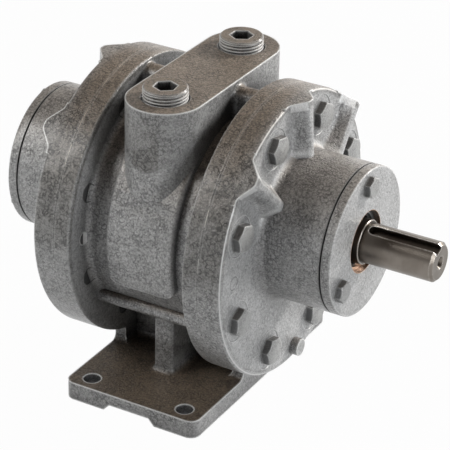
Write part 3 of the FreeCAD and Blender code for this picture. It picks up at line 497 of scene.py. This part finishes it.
def seat_lines(paint, colour, edge_highlight):
    from_bolt, reach = from_bolts(paint)
    x, y, z = paint.split(paint.place)
    faces_end = paint.faces_end()
    # Painted highlight on the rim's rounded edge, weaker on the rear plate, and on the upper hub root;
    # painted shade on the lower hub root.
    rim = paint.fade(reach, rim_start - 1 * MM, rim_start) * paint.line(faces_end, 0.78, 0.18)
    rim = rim * (rear_highlight + (1 - rear_highlight) * paint.fade(x, -10 * MM, 10 * MM))
    root = paint.line(paint.from_line(shaft_y, shaft_z), hub_root_radius, hub_root_width)
    root = root * paint.line(faces_end, 0.6, 0.6)
    high = paint.fade(z, shaft_z + root_highlight_from, shaft_z + root_highlight_to)
    colour = paint.mix(paint.maths("MAXIMUM", rim, root * high) * 0.8, colour, painted_highlight_white)
    colour = paint.mix(root * (1 - high) * 0.55, colour, painted_hub_shade)
    # Painted shadow along the edges of the bolt seats, broken by noise, and dark rings round the dowels.
    seat = paint.line(from_bolt, seat_radius, seat_line) * paint.fade(paint.noise(seat_arc), 0.46, 0.54)
    from_dowel = paint.length(paint.maths("ABSOLUTE", y) - bolt_pitch_radius, z - flange_z)
    dowel = paint.line(from_dowel, dowel_radius, dowel_line)
    by_dowel = paint.fade(from_dowel, dowel_radius + 2 * dowel_reach, dowel_radius + dowel_reach)
    colour = paint.mix(paint.maths("MAXIMUM", seat, dowel) * 0.9, colour, gap_and_shadow_dark)
    return colour, edge_highlight * (1 - by_dowel)


dress(hammered_enamel("end plate enamel", marks=seat_lines), "drive_end_plate", "rear_end_plate")


# Drive end cap.
# A turned cap whose bore shows bare, copper-coloured metal in front of the seal.
bore_radius, bore_skin, bore_edge = 17.6 * MM, 0.05 * MM, 1 * MM
bore_ring = 0.9 * MM
copper_dark, copper_light = (0.60, 0.30, 0.16), (1.0, 0.72, 0.50)


def bare_bore(paint, colour, edge_highlight):
    from_shaft = paint.from_line(shaft_y, shaft_z)
    inside = paint.fade(from_shaft, bore_radius + 5 * bore_skin, bore_radius + bore_skin)
    rings = paint.noise(bore_ring, 2.0, 0.6, paint.join(paint.split(paint.place)[0]))
    copper = paint.mix(paint.fade(rings, 0.4, 0.6), copper_dark, copper_light)
    rim = paint.fade(from_shaft, bore_radius + 2 * bore_edge, bore_radius + bore_edge)
    return paint.mix(inside, colour, copper), edge_highlight * (1 - rim)


dress(hammered_enamel("drive cap enamel", marks=bare_bore), "drive_end_cap")


# Fasteners.
# Steel hex bolts and dowels, painted over with the housing. The bolts' flats are darker grey, and the ends
# that come through the flanges are bare and dull.
bolt_light, bolt_dark = (0.47, 0.47, 0.46), (0.27, 0.27, 0.265)
flat_grey = (0.21, 0.215, 0.22)
shank_grey = (0.12, 0.12, 0.12)
head_start = 55 * MM
fine_scale = 0.7


def outside(paint):
    """1 on what stands in front of the end plates and 0 on what is in or behind them."""
    return paint.fade(paint.station(), plate_front, head_start)


def bolt_flats(paint, colour, edge_highlight):
    flank = paint.fade(paint.faces_end(), 0.55, 0.25)
    on_head = outside(paint)
    colour = paint.mix(flank * 0.7, colour, flat_grey)
    return paint.mix(on_head, shank_grey, colour), edge_highlight * on_head * 0.6


def no_edge_highlight(paint, colour, edge_highlight):
    return paint.mix(outside(paint), shank_grey, colour), edge_highlight * 0.0


bolt_enamel = hammered_enamel("bolt enamel", bolt_light, bolt_dark, fine_scale, bolt_flats)
dress(bolt_enamel, "drive_plate_bolts", "rear_plate_bolts", "drive_cap_bolts", "rear_cap_bolts")
dress(hammered_enamel("dowel enamel", marks=no_edge_highlight), "drive_dowels", "rear_dowels")


# Gaskets.
# Paper sheets pressed between the castings. The paint bridges those round the body and has cracked along them
# in short bright lines on top; those under the caps lie in a deep dark groove.
scratch_bright, scratch_length = (0.95, 0.93, 0.89), 14 * MM
paper_dark, paper_light = (0.006, 0.006, 0.006), (0.022, 0.020, 0.018)
paper_fibre, paper_depth = 0.6 * MM, 0.02 * MM


def joint_line(paint, colour, edge_highlight):
    along = paint.fade(paint.noise(scratch_length, 1.0), 0.52, 0.58) * paint.fade(paint.faces_up(), 0.0, 0.3)
    return paint.mix(along, colour, scratch_bright), edge_highlight * 0.0


def gasket_sheet():
    paint = Paint("gasket sheet")
    fibre = paint.noise(paper_fibre, 4.0, 0.7)
    return paint.surface(Base_Color=paint.mix(fibre, paper_dark, paper_light), Roughness=0.9,
                         Normal=paint.relief(fibre, paper_depth))


dress(hammered_enamel("painted joint", marks=joint_line), "drive_body_gasket", "rear_body_gasket")
dress(gasket_sheet(), "drive_cap_gasket", "rear_cap_gasket")


# Shaft.
# One steel bar, turned and ground, with fine rings left by the tool and darker oily patches. Its keyway and
# other recesses get painted shade, nearly black, and the keyway's edges have worn bright.
shaft_light, shaft_dark = (0.25, 0.225, 0.20), (0.15, 0.13, 0.11)
recess_shade_black, key_bright = (0.02, 0.016, 0.012), (0.85, 0.82, 0.78)
recess_shade_reach, key_wear, key_speck = 4 * MM, 0.9 * MM, 0.7 * MM
stain_size = 9 * MM
ring_depth, steel_edge = 0.01 * MM, 0.3 * MM


def turned_steel(name, light, dark, ring, roughness, recess_shading=0.0):
    paint = Paint(name)
    rings = paint.noise(ring, 3.0, 0.7, paint.join(paint.split(paint.place)[0]))
    stain = paint.fade(paint.noise(stain_size, 4.0, 0.6), 0.35, 0.7)
    colour = paint.mix(0.6 * rings + 0.4 * stain, dark, light)
    if recess_shading:
        # Painted shade: recesses such as the keyway are darkened nearly to black.
        painted_recess_shade = paint.fade(paint.openness(recess_shade_reach), 0.92, 0.5)
        colour = paint.mix(painted_recess_shade * recess_shading, colour, recess_shade_black)
        speck = paint.fade(paint.noise(key_speck, 3.0, 0.7), 0.42, 0.6)
        worn = paint.fade(paint.openness(key_wear, inside=True), 0.9, 0.6)
        colour = paint.mix(worn * (0.4 + 0.6 * speck), colour, key_bright)
    return paint.surface(Base_Color=colour, Metallic=1.0, Roughness=roughness + 0.12 * rings,
                         Normal=paint.relief(rings, ring_depth, paint.edge(steel_edge)))


dress(turned_steel("turned steel", shaft_light, shaft_dark, 0.35 * MM, 0.28, recess_shading=0.95), "shaft")


# Bearings.
# Polished rings and balls with a pressed brass cage.
bearing_steel = turned_steel("bearing steel", (0.72, 0.72, 0.73), (0.60, 0.60, 0.61), 0.5 * MM, 0.15)
cage_brass = turned_steel("cage brass", (0.74, 0.56, 0.28), (0.58, 0.42, 0.20), 0.8 * MM, 0.3)
for end in ("drive_", "rear_"):
    dress(bearing_steel, end + "bearing_outer_ring", end + "bearing_inner_ring", end + "bearing_balls")
    dress(cage_brass, end + "bearing_cage")


# Rotor and vanes.
# A ground iron rotor with eight blades of laminated fibre in its slots.
vane_count = 8
fibre_dark, fibre_light = (0.16, 0.09, 0.045), (0.30, 0.19, 0.10)
weave_size, weave_depth = 0.5 * MM, 0.02 * MM


def laminated_fibre():
    paint = Paint("laminated fibre")
    weave = paint.noise(weave_size, 3.0, 0.6)
    return paint.surface(Base_Color=paint.mix(weave, fibre_dark, fibre_light), Roughness=0.55,
                         Normal=paint.relief(weave, weave_depth))


dress(turned_steel("ground iron", (0.36, 0.35, 0.34), (0.24, 0.23, 0.22), 0.4 * MM, 0.4), "rotor")
dress(laminated_fibre(), *["vane_%d" % (i + 1) for i in range(vane_count)])


# Shaft seal.
# A black rubber lip in a pressed steel case, held to the journal by a small coil spring of steel wire. The
# case is copper-brown and lighter towards the bottom.
rubber_dark, rubber_light = (0.008, 0.008, 0.008), (0.03, 0.028, 0.026)
rubber_grain, rubber_depth = 0.4 * MM, 0.01 * MM
case_dark, case_light = (0.08, 0.08, 0.08), (0.42, 0.43, 0.44)
bottom_copper_dark, bottom_copper_light = (0.42, 0.24, 0.15), (0.85, 0.58, 0.42)
case_ring, case_depth = 0.7 * MM, 0.05 * MM
copper_top, copper_full = shaft_z - 9 * MM, shaft_z - 13 * MM
seal_wire_radius = 0.19 * MM
seal_wire_sides = 6
seal_coil_turns = 110
points_a_turn = 10


def seal_rubber():
    paint = Paint("seal rubber")
    grain = paint.noise(rubber_grain, 3.0)
    return paint.surface(Base_Color=paint.mix(grain, rubber_dark, rubber_light), Roughness=0.5,
                         Normal=paint.relief(grain, rubber_depth))


def seal_metal():
    paint = Paint("seal case metal")
    rings = paint.noise(case_ring, 3.0, 0.7, paint.join(paint.from_line(shaft_y, shaft_z)))
    bands = paint.fade(rings, 0.4, 0.6)
    steel = paint.mix(bands, case_dark, case_light)
    copper = paint.mix(bands, bottom_copper_dark, bottom_copper_light)
    low_down = paint.fade(paint.height(), copper_top, copper_full)
    return paint.surface(Base_Color=paint.mix(low_down, steel, copper), Metallic=1.0,
                         Roughness=0.3 + 0.15 * rings, Normal=paint.relief(rings, case_depth))


spring_steel = turned_steel("spring steel", (0.62, 0.58, 0.55), (0.40, 0.37, 0.34), 0.4 * MM, 0.3)
dress(seal_rubber(), "seal_lip")
dress(seal_metal(), "seal_case")
dress(spring_steel, "retaining_ring")


def coil(material):
    """A wire wound round a ring about the shaft axis."""
    low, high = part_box("seal_spring")
    tube_radius = 0.5 * (high[0] - low[0])
    shape = Shape("coil", Ring=0.5 * (high[1] - low[1]) - tube_radius, Tube=tube_radius - seal_wire_radius,
                  Wire=seal_wire_radius, Turns=seal_coil_turns, Station=0.5 * (low[0] + high[0]),
                  Height=shaft_z, Finish=material)
    count = seal_coil_turns * points_a_turn
    ring = shape.add("GeometryNodeCurvePrimitiveCircle", {}, {"Resolution": count, "Radius": 1.0})
    step = shape.add("GeometryNodeInputIndex") * (2 * math.pi / count)
    twist = step * shape.given("Turns")
    reach = shape.given("Ring") + shape.given("Tube") * shape.maths("COSINE", twist)
    place = shape.join(shape.given("Station") + shape.given("Tube") * shape.maths("SINE", twist),
                       reach * shape.maths("COSINE", step),
                       shape.given("Height") + reach * shape.maths("SINE", step))
    wound = shape.add("GeometryNodeSetPosition", {}, {"Geometry": ring, "Position": place})
    section = shape.add("GeometryNodeCurvePrimitiveCircle", {},
                        {"Resolution": seal_wire_sides, "Radius": shape.given("Wire")})
    wire = shape.add("GeometryNodeCurveToMesh", {}, {"Curve": wound, "Profile Curve": section})
    smooth = shape.add("GeometryNodeSetShadeSmooth", {}, {"Geometry": wire})
    whole = shape.add("GeometryNodeRealizeInstances", {}, {"Geometry": smooth})
    return shape.close(shape.add("GeometryNodeSetMaterial", {},
                                 {"Geometry": whole, "Material": shape.given("Finish")}))


seal_coil = bpy.data.objects.new("seal_coil", bpy.data.meshes.new("seal_coil"))
bpy.context.scene.collection.objects.link(seal_coil)
coil(spring_steel).apply_to(seal_coil)
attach(seal_coil, "housing")
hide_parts("seal_spring")


# Port plugs.
# Steel plugs with a hexagon socket and a pipe thread, screwed into the ports and painted over. The thread's
# grooves and the socket get painted shade.
plug_light, plug_dark = (0.52, 0.51, 0.49), (0.34, 0.33, 0.315)
socket_shade_dark, socket_shade_reach = (0.05, 0.05, 0.05), 3 * MM
plug_chamfer = 0.8 * MM
socket_flats = 11.5 * MM
socket_depth = 9.0 * MM
thread_pitch = 1.814 * MM
thread_depth = 0.75 * MM
thread_flank, thread_root = 0.40, 0.08
rows_a_turn = 8
plug_steps = 120
tiny = 0.001 * MM
socket_turns = {"port_plug_front": math.radians(38), "port_plug_rear": math.radians(30)}


def plug_blank(name, low, high, turn):
    """A plug of rings of points, from its underside's centre up its side and down into its socket."""
    middle = Vector((0.5 * (low[0] + high[0]), 0.5 * (low[1] + high[1]), 0))
    radius = 0.5 * (high[0] - low[0])
    top, bottom = high[2], low[2]
    row = thread_pitch / rows_a_turn
    side_rows = int((top - plug_chamfer - bottom) / row)
    heights = [top - plug_chamfer - row * i for i in range(side_rows, -1, -1)]
    circle = [(0.0, bottom, 0.0), (1.0, bottom, 0.0)] + [(1.0, height, 0.0) for height in heights]
    circle += [((radius - plug_chamfer) / radius, top, 0.0), (0.0, top, 1.0), (0.0, top - socket_depth, 1.0),
               (0.0, top - socket_depth, 0.0)]
    skin = bmesh.new()
    rings = []
    for round_part, height, hexagon_part in circle:
        ring = []
        for i in range(plug_steps):
            angle = 2 * math.pi * i / plug_steps
            corner = (angle - turn) % (math.pi / 3) - math.pi / 6
            hexagon = 0.5 * socket_flats / math.cos(corner)
            reach = round_part * radius + hexagon_part * hexagon
            point = middle + Vector((reach * math.cos(angle), reach * math.sin(angle), height))
            ring.append(skin.verts.new(point))
        rings.append(ring)
    for lower, upper in zip(rings, rings[1:]):
        for i in range(plug_steps):
            j = (i + 1) % plug_steps
            skin.faces.new((lower[i], lower[j], upper[j], upper[i]))
    bmesh.ops.remove_doubles(skin, verts=skin.verts, dist=tiny)
    bmesh.ops.dissolve_degenerate(skin, edges=skin.edges, dist=tiny)
    bmesh.ops.recalc_face_normals(skin, faces=skin.faces)
    mesh = bpy.data.meshes.new(name)
    skin.to_mesh(mesh)
    skin.free()
    piece = bpy.data.objects.new(name, mesh)
    bpy.context.scene.collection.objects.link(piece)
    return piece, middle, radius


def pipe_thread(middle, radius, top, material):
    """Cuts a thread into the round side of a plug, running out below its chamfer."""
    shape = Shape("pipe thread", Pitch=thread_pitch, Depth=thread_depth, Middle=middle, Radius=radius,
                  Top=top - plug_chamfer, Finish=material)
    place = shape.add("GeometryNodeInputPosition")
    out = shape.add("ShaderNodeVectorMath", {"operation": "SUBTRACT"}, {0: place, 1: shape.given("Middle")})
    x, y, z = shape.split(out)
    reach = shape.length(x, y)
    turn = shape.maths("ARCTAN2", y, x) / (2 * math.pi)
    phase = shape.maths("FRACT", z / shape.given("Pitch") - turn)
    groove = shape.fade(shape.maths("ABSOLUTE", phase - 0.5), thread_flank, thread_root)
    run_out = shape.fade(shape.given("Top") - z, 0.0, 0.5 * shape.given("Pitch"))
    on_side = shape.fade(reach, 0.995 * shape.given("Radius"), 0.999 * shape.given("Radius"))
    cut = groove * run_out * on_side * shape.given("Depth")
    part = (reach - cut) / shape.maths("MAXIMUM", reach, tiny)
    moved = shape.add("ShaderNodeVectorMath", {"operation": "ADD"},
                      {0: shape.join(x * part, y * part, z), 1: shape.given("Middle")})
    cut_side = shape.add("GeometryNodeSetPosition", {}, {"Geometry": shape.given(), "Position": moved})
    whole = shape.add("GeometryNodeRealizeInstances", {}, {"Geometry": cut_side})
    return shape.close(shape.add("GeometryNodeSetMaterial", {},
                                 {"Geometry": whole, "Material": shape.given("Finish")}))


def shaded_socket(paint, colour, edge_highlight):
    # Painted shade in the socket and the thread's grooves.
    held = paint.fade(paint.openness(socket_shade_reach), 0.8, 0.45)
    return paint.mix(held * 0.8, colour, socket_shade_dark), edge_highlight * 0.7


plug_enamel = hammered_enamel("plug enamel", plug_light, plug_dark, fine_scale, shaded_socket)
for plug_name, socket_turn in socket_turns.items():
    plug_low, plug_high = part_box(plug_name)
    plug, plug_middle, plug_radius = plug_blank("threaded_" + plug_name, plug_low, plug_high, socket_turn)
    pipe_thread(plug_middle, plug_radius, plug_high[2], plug_enamel).apply_to(plug)
    rounds.apply_to(plug)
    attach(plug, "housing")
    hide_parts(plug_name)
